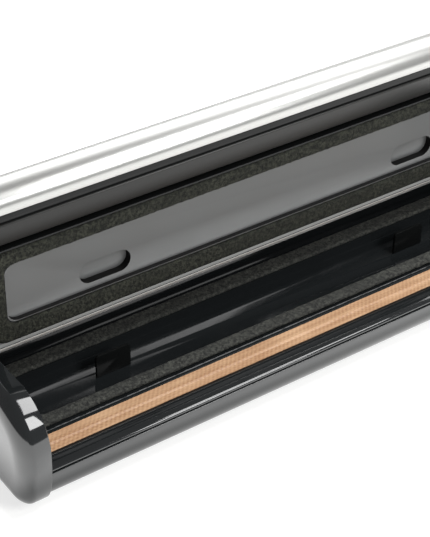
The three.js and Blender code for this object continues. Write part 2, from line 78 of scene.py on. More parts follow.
# %% [markdown]
# ## Helpers for finishes
# Every colour is picked as an sRGB hex value, and a shader wants linear light, so one function
# converts. A second one adds a shader node, sets it up and wires its inputs in one call.

# %% Colour and node helpers
def linear(hex_code):
    """An sRGB hex colour as linear RGBA."""
    parts = [int(hex_code[i:i + 2], 16) / 255 for i in (1, 3, 5)]
    return (*[c / 12.92 if c <= 0.04045 else ((c + 0.055) / 1.055) ** 2.4 for c in parts], 1.0)


def add_node(tree, kind, inputs=None, **settings):
    """Adds a node. An input is given as a constant or as the output socket that feeds it."""
    node = tree.nodes.new(kind)
    for name, value in settings.items():
        setattr(node, name, value)
    for name, value in (inputs or {}).items():
        if isinstance(value, bpy.types.NodeSocket):
            tree.links.new(value, node.inputs[name])
        else:
            node.inputs[name].default_value = value
    return node


def new_finish(name, **shader_inputs):
    """A material with one Principled shader, its tree, and the coordinates of the piece."""
    material = bpy.data.materials.new(name)
    material.use_nodes = True
    tree = material.node_tree
    shader = tree.nodes["Principled BSDF"]
    for label, value in shader_inputs.items():
        shader.inputs[label.replace("_", " ")].default_value = value
    place = add_node(tree, "ShaderNodeTexCoord").outputs["Object"]
    return material, tree, shader, place


# %% [markdown]
# ## Gloss black ABS
# The caps, the deck and the base are injection moulded ABS from a polished tool. ABS has an IOR of
# about 1.54. A polished moulding is nearly a mirror, but never quite flat: a long soft ripple
# bends its reflections, and handling leaves faint hazy patches. Both come from noise at real
# sizes.

# %% Gloss black ABS
def gloss_plastic(name, colour, haze=(0.05, 0.14), ripple_mm=26, ripple_depth=0.00012, ior=1.54,
                  sheen=0.5):
    material, tree, shader, place = new_finish(name, Base_Color=linear(colour), IOR=ior,
                                               Specular_IOR_Level=sheen)
    smears = add_node(tree, "ShaderNodeTexNoise", {"Vector": place, "Scale": 34.0, "Detail": 4.0,
                                                   "Roughness": 0.62})
    rough = add_node(tree, "ShaderNodeMapRange", {
        "Value": smears.outputs["Fac"], "From Min": 0.35, "From Max": 0.7,
        "To Min": haze[0], "To Max": haze[1]})
    tree.links.new(rough.outputs["Result"], shader.inputs["Roughness"])
    ripple = add_node(tree, "ShaderNodeTexNoise", {"Vector": place, "Scale": 1000 / ripple_mm,
                                                   "Detail": 1.0})
    bump = add_node(tree, "ShaderNodeBump", {"Height": ripple.outputs["Fac"], "Strength": 1.0,
                                             "Distance": ripple_depth})
    tree.links.new(bump.outputs["Normal"], shader.inputs["Normal"])
    return material


GLOSS_BLACK = gloss_plastic("gloss_black_abs", "#141617")
# The liner is black ABS; its flat faces are painted mid-grey, a painted reflection of a bright room.
LINER_FACE_PAINTED_REFLECTION = gloss_plastic("gloss_liner_abs_face_painted_reflection", "#4a4b4b", haze=(0.3, 0.42), ior=1.4,
                          ripple_mm=60)
# The liner's rear rim is the same plastic painted lighter, as painted light where little light
# reaches.
LINER_RIM_PAINTED_LIGHT = gloss_plastic("gloss_liner_abs_rim_painted_light", "#707170", haze=(0.3, 0.42), ior=1.4,
                          ripple_mm=60)
LINER_WALL = gloss_plastic("gloss_liner_abs_wall", "#0d0e0e", haze=(0.16, 0.26), ior=1.36,
                           sheen=0.2)
# The liner's nooks are the same plastic painted near black, as painted shade.
LINER_NOOK_PAINTED_SHADE = gloss_plastic("liner_abs_nook_painted_shade", "#050505", haze=(0.5, 0.6), ior=1.25)
print("plastics", GLOSS_BLACK.name, LINER_FACE_PAINTED_REFLECTION.name, LINER_RIM_PAINTED_LIGHT.name, LINER_WALL.name,
      LINER_NOOK_PAINTED_SHADE.name)

# %% [markdown]
# ## Silver paint
# The lid cover is moulded plastic sprayed with silver base coat: tiny aluminium flakes in a clear
# binder. Each flake lies at its own tilt, so the paint is a rough metal with a fine sparkle under
# a thin coat. Real flakes are about 0.05 mm, drawn here at 0.4 mm so that they show.

# %% Silver paint
SILVER, tree, shader, place = new_finish("silver_flake_paint", Base_Color=linear("#929290"),
                                         Metallic=0.8, Coat_Weight=0.35, Coat_Roughness=0.12)
flakes = add_node(tree, "ShaderNodeTexVoronoi", {"Vector": place, "Scale": 2500.0})
rough = add_node(tree, "ShaderNodeMapRange", {"Value": flakes.outputs["Distance"],
                                              "To Min": 0.26, "To Max": 0.42})
tree.links.new(rough.outputs["Result"], shader.inputs["Roughness"])
spray = add_node(tree, "ShaderNodeTexNoise", {"Vector": place, "Scale": 700.0, "Detail": 2.0})
bump = add_node(tree, "ShaderNodeBump", {"Height": spray.outputs["Fac"], "Strength": 0.5,
                                         "Distance": 0.00003})
tree.links.new(bump.outputs["Normal"], shader.inputs["Normal"])
print("paint", SILVER.name)

# %% [markdown]
# ## Closed-cell foam
# The gaskets are black EPDM sponge. Its skin is a crust of closed cells about 1 mm across, so it
# is matt and grainy, with grey cell walls and darker pits. Voronoi cells give the pits, and a
# finer noise breaks up the walls. The gasket in the lid is a darker copy of the deck's, painted
# shade.

# %% Closed-cell foam
def sponge(name, pit, wall, crust_shade, sheen):
    material, tree, shader, place = new_finish(name, Roughness=0.92, IOR=1.45,
                                               Specular_IOR_Level=sheen)
    cells = add_node(tree, "ShaderNodeTexVoronoi", {"Vector": place, "Scale": 1000.0,
                                                    "Randomness": 1.0})
    crumbs = add_node(tree, "ShaderNodeTexNoise", {"Vector": place, "Scale": 620.0, "Detail": 5.0,
                                                   "Roughness": 0.75})
    blotches = add_node(tree, "ShaderNodeTexNoise", {"Vector": place, "Scale": 90.0,
                                                     "Detail": 3.0})
    speckle = add_node(tree, "ShaderNodeMapRange", {"Value": crumbs.outputs["Fac"],
                                                    "From Min": 0.42, "From Max": 0.62})
    blotched = add_node(tree, "ShaderNodeMapRange", {
        "Value": blotches.outputs["Fac"], "From Min": 0.3, "From Max": 0.8, "To Max": 0.6})
    grain = add_node(tree, "ShaderNodeMix", {0: speckle.outputs["Result"], 6: linear(pit),
                                             7: linear(wall)}, data_type="RGBA")
    patch = add_node(tree, "ShaderNodeMix", {0: blotched.outputs["Result"], 6: grain.outputs[2],
                                             7: linear(crust_shade)}, data_type="RGBA")
    tree.links.new(patch.outputs[2], shader.inputs["Base Color"])
    crust = add_node(tree, "ShaderNodeBump", {"Height": cells.outputs["Distance"],
                                              "Strength": 0.9, "Distance": 0.0004})
    tree.links.new(crust.outputs["Normal"], shader.inputs["Normal"])
    return material


FOAM = sponge("epdm_sponge_foam", "#0b0c0b", "#3e3f3a", "#1a1b19", 0.5)
# The lid's gasket is the same foam painted darker, as painted shade.
LID_FOAM_PAINTED_SHADE = sponge("epdm_sponge_foam_painted_shade", "#060705", "#2c2d26", "#11120e", 0.22)
print("foam", FOAM.name, LID_FOAM_PAINTED_SHADE.name)

# %% [markdown]
# ## Glass cloth tape
# A tan PTFE coated glass cloth covers the heating wire so that the bag doesn't stick to it. It is
# a plain weave with about 1 mm between threads once coated. Threads one way pass over and under
# the threads the other way, which two crossed waves and their product give. The coating is waxy,
# so the thread crowns catch a soft highlight.

# %% Glass cloth tape
THREAD_MM = 1.0
TAPE, tree, shader, place = new_finish("ptfe_glass_cloth_tape", IOR=1.38, Roughness=0.4)
turned = add_node(tree, "ShaderNodeMapping", {"Vector": place,
                                              "Rotation": (0, 0, math.radians(38))})
waves = [add_node(tree, "ShaderNodeTexWave", {
    "Vector": turned.outputs["Vector"], "Scale": 1000 / THREAD_MM / 20 * math.pi,
    "Distortion": 1.4, "Detail": 2.0, "Detail Scale": 2.0},
    wave_type="BANDS", bands_direction=way, wave_profile="SIN") for way in ("X", "Y")]
over = add_node(tree, "ShaderNodeMix", {0: 0.4, 2: waves[0].outputs["Fac"],
                                        3: waves[1].outputs["Fac"]}, data_type="FLOAT")
# long faint lighter streaks about 1.5 mm wide run along the tape, as painted highlights
drawn = add_node(tree, "ShaderNodeMapping", {"Vector": place, "Scale": (0.035, 1, 1)})
streak_highlight_noise = add_node(tree, "ShaderNodeTexNoise", {"Vector": drawn.outputs["Vector"],
                                                "Scale": 520.0, "Detail": 3.0, "Roughness": 0.6})
stains = add_node(tree, "ShaderNodeTexNoise", {"Vector": place, "Scale": 45.0, "Detail": 4.0})
cloth = add_node(tree, "ShaderNodeMix", {0: over.outputs[0], 6: linear("#8a684d"),
                                         7: linear("#a48364")}, data_type="RGBA")
streak_highlight = add_node(tree, "ShaderNodeMapRange", {"Value": streak_highlight_noise.outputs["Fac"],
                                                    "From Min": 0.38, "From Max": 0.68,
                                                    "To Min": 0.0, "To Max": 0.85})
highlight_streaked = add_node(tree, "ShaderNodeMix", {0: streak_highlight.outputs["Result"], 6: cloth.outputs[2],
                                            7: linear("#b29273")}, data_type="RGBA")
faint = add_node(tree, "ShaderNodeMapRange", {"Value": stains.outputs["Fac"], "From Min": 0.4,
                                              "From Max": 0.8, "To Min": 0.0, "To Max": 0.5})
tinted = add_node(tree, "ShaderNodeMix", {0: faint.outputs["Result"], 6: highlight_streaked.outputs[2],
                                          7: linear("#815b40")}, data_type="RGBA")
tree.links.new(tinted.outputs[2], shader.inputs["Base Color"])
threads = add_node(tree, "ShaderNodeBump", {"Height": over.outputs[0], "Strength": 0.5,
                                            "Distance": 0.0002})
tree.links.new(threads.outputs["Normal"], shader.inputs["Normal"])
print("tape", TAPE.name)

# %% [markdown]
# ## Rubber, metals and the small plastics
# One function makes the plain finishes, each with a grain of its own size: the satin silicone of
# the pressing strip, the matt rubber of the feet, spark-textured grey plastic, and turned or drawn
# metals. Grain gives both a little bump and a slight change of shade.

# %% Grained finishes
def grained(name, dark, light, grain_mm, depth_mm, stretch=(1, 1, 1), **shader_inputs):
    material, tree, shader, place = new_finish(name, **shader_inputs)
    squeezed = add_node(tree, "ShaderNodeMapping", {"Vector": place, "Scale": stretch})
    grain = add_node(tree, "ShaderNodeTexNoise", {
        "Vector": squeezed.outputs["Vector"], "Scale": 1000 / grain_mm, "Detail": 3.0})
    shade = add_node(tree, "ShaderNodeMix", {0: grain.outputs["Fac"], 6: linear(dark),
                                             7: linear(light)}, data_type="RGBA")
    tree.links.new(shade.outputs[2], shader.inputs["Base Color"])
    bump = add_node(tree, "ShaderNodeBump", {"Height": grain.outputs["Fac"], "Strength": 0.7,
                                             "Distance": depth_mm * MM})
    tree.links.new(bump.outputs["Normal"], shader.inputs["Normal"])
    return material


# Silicone keeps a satin skin from its mould, a shade lighter where it has been pressed.
SILICONE = grained("satin_silicone", "#111110", "#1a1a19", 1.6, 0.02, Roughness=0.4, IOR=1.41,
                   Specular_IOR_Level=0.32)
# Rubber feet are matt, with a fine crumb.
RUBBER = grained("moulded_rubber", "#141414", "#222221", 0.9, 0.05, Roughness=0.8, IOR=1.5)
# Spark-eroded moulds leave a sandy skin about 0.6 mm across on grey ABS.
DARK_ABS = grained("spark_textured_abs", "#383b3e", "#4a4d50", 0.6, 0.03, Roughness=0.5, IOR=1.54)
KEY_ABS = grained("satin_key_abs", "#7d8083", "#909396", 1.2, 0.008, Roughness=0.32, IOR=1.54)
# Drawn steel has long scratches along its length, so its grain is squeezed across it.
STEEL = grained("drawn_steel", "#a2a6aa", "#c4c8cc", 3.0, 0.006, stretch=(0.06, 1, 1),
                Metallic=1.0, Roughness=0.3)
# The bar under the tape is given a dark brown.
BAR_DARK_BROWN = grained("dark_brown_bar", "#1a110b", "#2c1c11", 1.2, 0.02, Roughness=0.6, IOR=1.5)
BRASS = grained("turned_brass", "#a9853f", "#c39b56", 2.0, 0.006, stretch=(1, 0.1, 0.1),
                Metallic=1.0, Roughness=0.32)
BOARD = grained("solder_masked_board", "#1a4c2d", "#246640", 4.0, 0.02, Roughness=0.4, IOR=1.55)
HOSE = grained("clear_silicone_hose", "#c4c9c8", "#d8dcdb", 2.0, 0.02, Roughness=0.3, IOR=1.42,
               Transmission_Weight=0.35)
GREEN_LENS = grained("green_acrylic_lens", "#2f9c4b", "#49b865", 1.5, 0.004, Roughness=0.12,
                     IOR=1.49, Coat_Weight=0.5)
RED_LENS = grained("red_acrylic_lens", "#b02f28", "#cc4238", 1.5, 0.004, Roughness=0.12,
                   IOR=1.49, Coat_Weight=0.5)
print("materials", len(bpy.data.materials))

# %% [markdown]
# ## Helpers for modelling
# Every piece starts from a primitive. `block` adds a cube at its size and place. `section` traces
# a side outline with one vertex, fills it and pulls it along the machine. `choose` picks vertices,
# edges or faces in code by where they are, so that the next operator acts only on them.

# %% Modelling helpers
def edit(piece):
    """Opens one piece in edit mode, with nothing else selected."""
    if bpy.context.mode != "OBJECT":
        bpy.ops.object.mode_set(mode="OBJECT")
    bpy.ops.object.select_all(action="DESELECT")
    piece.select_set(True)
    bpy.context.view_layer.objects.active = piece
    bpy.ops.object.mode_set(mode="EDIT")


def leave():
    bpy.ops.object.mode_set(mode="OBJECT")


def choose(piece, kind, test):
    """Selects what passes the test: it gets a centre in mm, and a direction or a normal."""
    bpy.ops.mesh.select_mode(type=kind)
    bpy.ops.mesh.select_all(action="DESELECT")
    mesh = bmesh.from_edit_mesh(piece.data)
    found = 0
    for part in {"VERT": mesh.verts, "EDGE": mesh.edges, "FACE": mesh.faces}[kind]:
        if kind == "VERT":
            centre, way = part.co, part.normal
        elif kind == "EDGE":
            a, b = part.verts
            centre, way = (a.co + b.co) / 2, (b.co - a.co).normalized()
        else:
            centre, way = part.calc_center_median(), part.normal
        if test(centre / MM, way):
            part.select_set(True)
            found += 1
    bmesh.update_edit_mesh(piece.data)
    return found


def settle(piece, name=None):
    """Puts a new object's place and size into its mesh and names it."""
    bpy.ops.object.transform_apply(location=True, rotation=True, scale=True)
    if name:
        piece.name = piece.data.name = name
    return piece


def block(name, x0, x1, y0, y1, z0, z1):
    """A cube primitive between six planes, in mm."""
    bpy.ops.object.select_all(action="DESELECT")
    centre = Vector(((x0 + x1) / 2, (y0 + y1) / 2, (z0 + z1) / 2)) * MM
    size = ((x1 - x0) * MM, (y1 - y0) * MM, (z1 - z0) * MM)
    bpy.ops.mesh.primitive_cube_add(size=1, location=centre, scale=size)
    return settle(bpy.context.object, name)


def round_upright(piece, radius, steps=8):
    """Rounds the four upright edges of a block."""
    edit(piece)
    choose(piece, "EDGE", lambda c, way: abs(way.z) > 0.99)
    bpy.ops.mesh.bevel(offset=radius * MM, segments=steps, affect="EDGES")
    leave()
    return piece


def pad(name, x0, x1, y0, y1, z0, z1, radius, steps=8):
    return round_upright(block(name, x0, x1, y0, y1, z0, z1), radius, steps)


def rod(name, radius, axis, a, b, u, v, sides=32):
    """A cylinder primitive along X, Y or Z from a to b, with its centre line at u and v."""
    bpy.ops.object.select_all(action="DESELECT")
    middle = (a + b) / 2
    spot = {"x": (middle, u, v), "y": (u, middle, v), "z": (u, v, middle)}[axis]
    turn = {"x": (0, math.pi / 2, 0), "y": (math.pi / 2, 0, 0), "z": (0, 0, 0)}[axis]
    bpy.ops.mesh.primitive_cylinder_add(vertices=sides, radius=radius * MM, depth=(b - a) * MM,
                                        location=Vector(spot) * MM, rotation=turn)
    return settle(bpy.context.object, name)


def section(name, outline, x0, x1):
    """Traces a closed outline of (y, z) points at x0, fills it, and pulls it to x1."""
    bpy.ops.object.select_all(action="DESELECT")
    bpy.ops.mesh.primitive_plane_add(size=MM, location=(0, 0, 0))
    piece = bpy.context.object
    edit(piece)
    bpy.ops.mesh.select_mode(type="VERT")
    bpy.ops.mesh.select_all(action="SELECT")
    bpy.ops.mesh.merge(type="CENTER")
    first = outline[0]
    bpy.ops.transform.translate(value=(x0 * MM, first[0] * MM, first[1] * MM))
    for a, b in zip(outline, outline[1:] + outline[:1]):
        bpy.ops.mesh.extrude_region_move(
            TRANSFORM_OT_translate={"value": (0, (b[0] - a[0]) * MM, (b[1] - a[1]) * MM)})
    bpy.ops.mesh.select_all(action="SELECT")
    bpy.ops.mesh.remove_doubles(threshold=0.002 * MM)
    bpy.ops.mesh.edge_face_add()
    bpy.ops.mesh.extrude_region_move(TRANSFORM_OT_translate={"value": ((x1 - x0) * MM, 0, 0)})
    bpy.ops.mesh.select_all(action="SELECT")
    bpy.ops.mesh.normals_make_consistent(inside=False)
    leave()
    return settle(piece, name)


def apply_modifier(piece, kind, **settings):
    bpy.ops.object.select_all(action="DESELECT")
    piece.select_set(True)
    bpy.context.view_layer.objects.active = piece
    modifier = piece.modifiers.new(kind.lower(), kind)
    for name, value in settings.items():
        setattr(modifier, name, value)
    bpy.ops.object.modifier_apply(modifier=modifier.name)
    return piece


def carve(piece, *cutters, how="DIFFERENCE"):
    """Cuts pieces out of a piece, or joins them to it, and removes them."""
    for cutter in cutters:
        apply_modifier(piece, "BOOLEAN", object=cutter, operation=how, solver="EXACT")
        bpy.data.objects.remove(cutter)
    return piece


def soften(piece, width, segments=2, smooth=32):
    """Small round edges all over, then smooth shading up to an angle."""
    edit(piece)
    bpy.ops.mesh.select_all(action="SELECT")
    bpy.ops.mesh.dissolve_limited(angle_limit=math.radians(0.3))
    leave()
    apply_modifier(piece, "BEVEL", width=width * MM, segments=segments, limit_method="ANGLE",
                   angle_limit=math.radians(32), miter_outer="MITER_ARC", use_clamp_overlap=True)
    apply_modifier(piece, "WEIGHTED_NORMAL", keep_sharp=True)
    bpy.ops.object.shade_smooth_by_angle(angle=math.radians(smooth))
    return piece


def paint(piece, *materials):
    piece.data.materials.clear()
    for material in materials:
        piece.data.materials.append(material)
    return piece


def hand_over(piece, body, slot, *replaced):
    """Says which body carries the piece and hides the CAD nodes it stands for. Its finish slot is
    not used.
    """
    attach(piece, body)
    if replaced:
        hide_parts(*replaced)
    triangles = sum(len(face.vertices) - 2 for face in piece.data.polygons)
    print(f"{piece.name}: {triangles} triangles on {body}")
    return piece


def arc(y, z, radius, start, end, steps):
    """Points on an arc in the side view, angles in degrees from +Y towards +Z."""
    turn = [math.radians(start + (end - start) * k / steps) for k in range(steps + 1)]
    return [(y + radius * math.cos(t), z + radius * math.sin(t)) for t in turn]


def bezier(p0, p1, p2, p3, steps):
    """Points on a cubic Bezier in the side view, without its first point."""
    points = []
    for k in range(1, steps + 1):
        t = k / steps
        w = ((1 - t) ** 3, 3 * t * (1 - t) ** 2, 3 * t * t * (1 - t), t ** 3)
        points.append(tuple(sum(w[i] * p[axis] for i, p in enumerate((p0, p1, p2, p3)))
                            for axis in (0, 1)))
    return points


print("helpers ready")

# %% [markdown]
# ## End caps
# Two tall caps close the ends. Seen from the side, a cap has a steep front, a round shoulder, a
# flat top and a long round fall at the back. Its rim runs straight for 8.5 mm, breaks in a soft
# crease, and rolls over into the slightly domed end face. The outline is traced and pulled to the
# crease. Then the end face is inset again and again, each time with a little less depth, which
# gives the roll in rings.

# %% End caps
HALF_LENGTH, CAP_INNER, CREASE_X = 180.0, 165.0, 173.5
ROLL_DEEP, ROLL_RINGS, ROLL_START = 11.5, 9, 0.42
HINGE_Y, HINGE_Z = 20.5, 53.0

cap_outline = (
    [(-50, 3)]
    + arc(46, 23, 20, -90, 0, 14)
    + arc(30, 26, 36, 0, 90, 24)
    + arc(-42, 38, 24, 90, 180, 18)
    + bezier((-66, 38), (-66, 16), (-61, 3), (-50, 3), 16)[:-1]
)


def roll_ring(k):
    """How far in and how far out the roll has come after ring k, on a quarter ellipse."""
    t = math.asin(ROLL_START) + (math.pi / 2 - math.asin(ROLL_START)) * k / ROLL_RINGS
    low, high = math.cos(math.asin(ROLL_START)), ROLL_START
    return (ROLL_DEEP * (1 - math.cos(t) / low),
            (HALF_LENGTH - 0.5 - CREASE_X) * (math.sin(t) - high) / (1 - high))


def end_cap(side, name):
    cap = section(name, cap_outline, side * CAP_INNER, side * CREASE_X)
    edit(cap)
    choose(cap, "FACE", lambda c, n: side * c.x > CREASE_X - 0.1)
    for k in range(ROLL_RINGS):
        (in_a, out_a), (in_b, out_b) = roll_ring(k), roll_ring(k + 1)
        bpy.ops.mesh.inset(thickness=(in_b - in_a) * MM, depth=(out_b - out_a) * MM)
    middle = (side * HALF_LENGTH * MM, 0, 31 * MM)
    for shrink, rise in ((0.84, 0.24), (0.8, 0.16), (0.7, 0.1)):
        bpy.ops.mesh.extrude_region_move(
            TRANSFORM_OT_translate={"value": (side * rise * MM, 0, 0)})
        bpy.ops.transform.resize(value=(1, shrink, shrink), center_override=middle)
    choose(cap, "EDGE", lambda c, way: abs(abs(c.x) - CREASE_X) < 0.05 and abs(way.x) < 0.1)
    bpy.ops.mesh.bevel(offset=1.1 * MM, segments=3, affect="EDGES")
    choose(cap, "EDGE", lambda c, way: abs(abs(c.x) - CAP_INNER) < 0.05 and abs(way.x) < 0.1)
    bpy.ops.mesh.bevel(offset=0.5 * MM, segments=3, affect="EDGES")
    leave()
    return cap


caps = {}
for name, side in (("left", -1), ("right", 1)):
    caps[name] = end_cap(side, f"cap_shell_{name}")
print("caps", [len(cap.data.polygons) for cap in caps.values()])

# %% [markdown]
# The release button sits in a well with rounded ends, low on each end face. The right cap also
# carries the control strip on a flat facet on top, with wells for two keys and holes for two
# indicator lenses. All of it is cut with blocks and rods.

# %% Wells and the hinge holes
PANEL = {"x": (167.9, 174.9), "y": (-30, 22), "z": 58.9}
KEY_Y = {"vacuum": -19, "seal": -3}
LENS_X, LENS_Y = 171.4, {"green": 9, "red": 15}
BUTTON = {"y": 11, "z": (13, 23), "radius": 5, "face": 181.2}


def lying_pad(name, side, x0, x1, half_y, z0, z1, radius, steps=8):
    """A block whose four edges along X are rounded, at one end of the machine."""
    low, high = sorted((side * x0, side * x1))
    piece = block(name, low, high, -half_y, half_y, z0, z1)
    edit(piece)
    choose(piece, "EDGE", lambda c, way: abs(way.x) > 0.99)
    bpy.ops.mesh.bevel(offset=radius * MM, segments=steps, affect="EDGES")
    leave()
    return piece


for name, side in (("left", -1), ("right", 1)):
    well = lying_pad("well", side, 172.4, 184, BUTTON["y"] + 0.5, BUTTON["z"][0] - 0.5,
                     BUTTON["z"][1] + 0.5, BUTTON["radius"] + 0.4)
    low, high = sorted((side * 160, side * 169))
    pin_hole = rod("pin_hole", 3.3, "x", low, high, HINGE_Y, HINGE_Z)
    carve(caps[name], well, pin_hole)


def key_wells(floor):
    """Rounded wells round both keys, down to a height."""
    return [pad("key_well", 168.5, 174.3, y - 6.8, y + 6.8, floor, 64, 2.8)
            for y in KEY_Y.values()]


def lens_holes(radius, floor):
    return [rod("lens_hole", radius, "z", floor, 64, LENS_X, y) for y in LENS_Y.values()]


panel_seat = block("panel_seat", PANEL["x"][0] - 0.3, 178, PANEL["y"][0] - 0.3,
                   PANEL["y"][1] + 0.3, PANEL["z"] - 0.1, 70)
carve(caps["right"], panel_seat, *key_wells(52), *lens_holes(1.7, 52))
for name, cap in caps.items():
    soften(cap, 0.35, 3, smooth=30)
    hand_over(paint(cap, GLOSS_BLACK), "base", "gloss_black", f"end_cap_{name}")

# %% [markdown]
# ## Base shell and rear housing
# The base shell is a tray with an upright front that rolls under, and an upright back. Behind the
# lid a housing rises over the pump. Its front is hollowed to let the round back edge of the lid
# turn. Both are shells with walls of 2.2 mm. The tray has slots for the lid's hooks and the
# latches.

# %% Base shell and rear housing
BODY_HALF, WALL = 164.7, 2.2
BODY = {"front": -62, "back": 65, "tray_top": 22.4, "housing_foot": 22.9}
FRONT_ROLL, BACK_ROLL = (-46.4, 18.6, 15.6), (50, 18, 15)
HOOK_WAY_Y, HOOK_WAY_Z = (-46, -16), (10, 30)


def tray_outline(inset, top):
    """Side outline of the tray, moved in by the inset, with its open side at a given height."""
    return ([(BODY["front"] + inset, top), (BODY["front"] + inset, FRONT_ROLL[1])]
            + arc(*FRONT_ROLL[:2], FRONT_ROLL[2] - inset, 180, 270, 14)[1:]
            + arc(*BACK_ROLL[:2], BACK_ROLL[2] - inset, -90, 0, 12)
            + [(BODY["back"] - inset, top)])


pan = section("base_shell", tray_outline(0, BODY["tray_top"]), -BODY_HALF, BODY_HALF)
pan_hollow = section("pan_hollow", tray_outline(WALL, 30), WALL - BODY_HALF, BODY_HALF - WALL)
carve(pan, pan_hollow, block("inlet_hole", -145.3, -122.7, 56, 70, 8.7, 21.3),
      *[block("hook_way", s * 164.2 - 2, s * 164.2 + 2, *HOOK_WAY_Y, *HOOK_WAY_Z)
        for s in (-1, 1)],
      *[block("latch_way", s * 164 - 4, s * 164 + 4, -7, 7, 14, 20.5) for s in (-1, 1)])
soften(pan, 0.45, 3)
hand_over(paint(pan, GLOSS_BLACK), "base", "gloss_black", "base_pan")

HOUSING_FRONT, HOUSING_TOP, ROOF_ROLL, SEAT_RADIUS = 22, 60.5, (33.5, 29, 31.5), 8.4
seat_start = math.degrees(math.acos((HOUSING_FRONT - HINGE_Y) / SEAT_RADIUS))
housing_outline = (
    [(HOUSING_FRONT, BODY["housing_foot"]), (BODY["back"], BODY["housing_foot"])]
    + arc(*ROOF_ROLL, 0, 90, 22)
    + [(28.9, HOUSING_TOP)] + arc(HINGE_Y, HINGE_Z, SEAT_RADIUS, 0, -seat_start, 12)
)
housing = section("rear_cover", housing_outline, -BODY_HALF, BODY_HALF)
inner_seat = SEAT_RADIUS + WALL
hollow_start = math.degrees(math.asin((HOUSING_TOP - WALL - HINGE_Z) / inner_seat))
hollow_end = math.degrees(math.acos((HOUSING_FRONT + WALL - HINGE_Y) / inner_seat))
carve(housing, section("housing_hollow", [(HOUSING_FRONT + WALL, 20), (BODY["back"] - WALL, 20)]
                       + arc(*ROOF_ROLL[:2], ROOF_ROLL[2] - WALL, 0, 90, 22)
                       + arc(HINGE_Y, HINGE_Z, inner_seat, hollow_start, -hollow_end, 12),
                       WALL - BODY_HALF, BODY_HALF - WALL))
soften(housing, 0.6, 3)
hand_over(paint(housing, GLOSS_BLACK), "base", "gloss_black", "rear_housing")

# %% [markdown]
# ## Deck with its trough
# The deck is one moulding: a flat top with a shallow chamfer along the front, a deep vacuum trough
# with a small ledge round its upper wall, a groove for the gasket, a gutter, and a slot for the
# sealing bar. A slab, a bowl and a bed for the bar are joined first, and everything sunk into them
# is then cut. The gutter runs a little way into the groove, because a wall thinner than the edge
# rounding would fold over itself.

# %% Deck
DECK_Z = 25.0
RING = {"x": 160.3, "front": -34.6, "back": 16.4, "radius": 9}
RING_HOLE = {"x": 151.6, "front": -26.6, "back": 6.4, "radius": 5}
TROUGH = {"x": 149.6, "front": -25.9, "back": 4.6, "radius": 6, "floor": 15}


def ring_block(name, shape, z0, z1, grow=0.0):
    return pad(name, -shape["x"] - grow, shape["x"] + grow, shape["front"] - grow,
               shape["back"] + grow, z0, z1, shape["radius"] + grow, 12)


def ring(name, z0, z1, grow=0.0):
    """The flat loop between the outer and the inner outline of a gasket."""
    return carve(ring_block(name, RING, z0, z1, grow),
                 ring_block("hole", RING_HOLE, z0 - 5, z1 + 5, -grow))


DECK_FRONT, DECK_BACK, DECK_FOOT, CHAMFER_Y = -61.3, 21.7, 22.9, -57.4
deck = section("deck_top", [(DECK_FRONT, DECK_FOOT), (DECK_BACK, DECK_FOOT),
                            (DECK_BACK, DECK_Z), (CHAMFER_Y, DECK_Z),
                            (DECK_FRONT, DECK_Z - 0.8)], -BODY_HALF, BODY_HALF)
edit(deck)
choose(deck, "EDGE", lambda c, way: c.y < -61 and c.z > 24 and abs(way.x) > 0.9)
bpy.ops.mesh.bevel(offset=1.0 * MM, segments=6, affect="EDGES")
choose(deck, "EDGE", lambda c, way: abs(c.y - CHAMFER_Y) < 0.1 and c.z > 24 and abs(way.x) > 0.9)
bpy.ops.mesh.bevel(offset=0.35 * MM, segments=1, affect="EDGES")
leave()
carve(deck, ring_block("bowl", TROUGH, TROUGH["floor"] - 2, 24, 2),
      block("bar_bed", -161.9, 161.9, -54, -31, 20.4, 24), how="UNION")
carve(deck, ring_block("hollow", TROUGH, TROUGH["floor"], 30),
      ring_block("ledge", TROUGH, 19.6, 30, 0.8),
      ring("groove", DECK_Z - 1.3, 30, 0.3),
      block("gutter", -161.4, 161.4, -39.9, -34.2, 22.4, 30),
      block("bar_slot", -161.4, 161.4, -52.2, -39.8, 22.4, 30),
      *[block("hook_way", s * 163.4 - 1.2, s * 163.4 + 1.2, *HOOK_WAY_Y, *HOOK_WAY_Z)
        for s in (-1, 1)],
      rod("port", 3.9, "z", 10, 20, 138, -11))
soften(deck, 0.22, 2)
hand_over(paint(deck, GLOSS_BLACK), "base", "gloss_black", "deck")

# %% [markdown]
# ## Foam gaskets
# Two loops of sponge, one round the trough and one in the lid, meet when the lid is shut. Foam is
# never sharp: the loop's rims are rounded well over, then the whole loop is remeshed into an even
# grid and pushed in and out by a fine cloud pattern, so that its skin is grainy in its shape too.

# %% Foam loops
FOAM_GRID_MM = 1.1
crumb_texture = bpy.data.textures.new("foam_crumbs", "CLOUDS")
crumb_texture.noise_scale = 0.0022
crumb_texture.noise_depth = 2


def foam_loop(name, z0, z1):
    loop = ring(name, z0, z1)
    apply_modifier(loop, "BEVEL", width=1.0 * MM, segments=3, limit_method="ANGLE",
                   angle_limit=math.radians(40))
    apply_modifier(loop, "REMESH", mode="VOXEL", voxel_size=FOAM_GRID_MM * MM)
    apply_modifier(loop, "SMOOTH", factor=0.5, iterations=3)
    apply_modifier(loop, "DISPLACE", texture=crumb_texture, strength=0.5 * MM, mid_level=0.5,
                   texture_coords="LOCAL")
    bpy.ops.object.shade_smooth()
    return loop


lower_foam = foam_loop("foam_gasket_lower", 23.9, 26.4)
hand_over(paint(lower_foam, FOAM), "base", "foam", "lower_gasket")
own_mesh(lower_foam)

# %% [markdown]
# ## Sealing tape
# The tape lies flat on the bar and rises in a low ridge over the wire. A plane is divided along
# and across, the rows over the wire are lifted, and a slow wave keeps it from looking like sheet
# metal.

